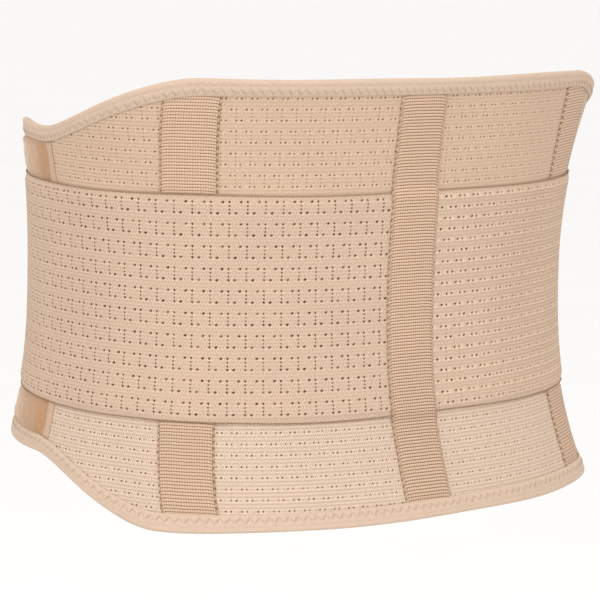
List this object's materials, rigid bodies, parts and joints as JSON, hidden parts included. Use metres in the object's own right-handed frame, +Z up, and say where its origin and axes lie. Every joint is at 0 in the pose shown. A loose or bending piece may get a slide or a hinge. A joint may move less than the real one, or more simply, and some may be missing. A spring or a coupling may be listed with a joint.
{
  "type": "prolapse support belt",
  "caption": "Wide elastic waist support belt with perforated rib panels, tension straps, webbing stay channels and a plush lapped front.",
  "frame": {"origin": "on the body's axis, at the height where the waist is narrowest", "axes": "+Z up along the body, +Y towards the centre back, -Y towards the front, -X towards the wearer's right"},
  "size_m": [0.2949, 0.2487, 0.2081],
  "materials": {
    "panel_elastic": "beige perforated rib elastic, matt",
    "strap_elastic": "beige perforated rib elastic, stretched, matt",
    "webbing": "beige grosgrain webbing",
    "tape": "beige knitted binding tape",
    "plush": "tan brushed loop plush",
    "hook": "tan hook and loop tape"
  },
  "bodies": {
    "root": {"back_panel": "panel_elastic", "front_panel_left": "plush", "front_panel_right": "plush", "front_closure": "hook", "channel_center": "webbing", "channel_left": "webbing", "channel_right": "webbing", "seam_tape_left": "tape", "seam_tape_right": "tape", "strap_left": "strap_elastic", "strap_right": "strap_elastic", "strap_tab_left": "hook", "strap_tab_right": "hook", "binding_top": "tape", "binding_bottom": "tape", "binding_end_left": "tape", "binding_end_right": "tape"}
  },
  "joints": []
}
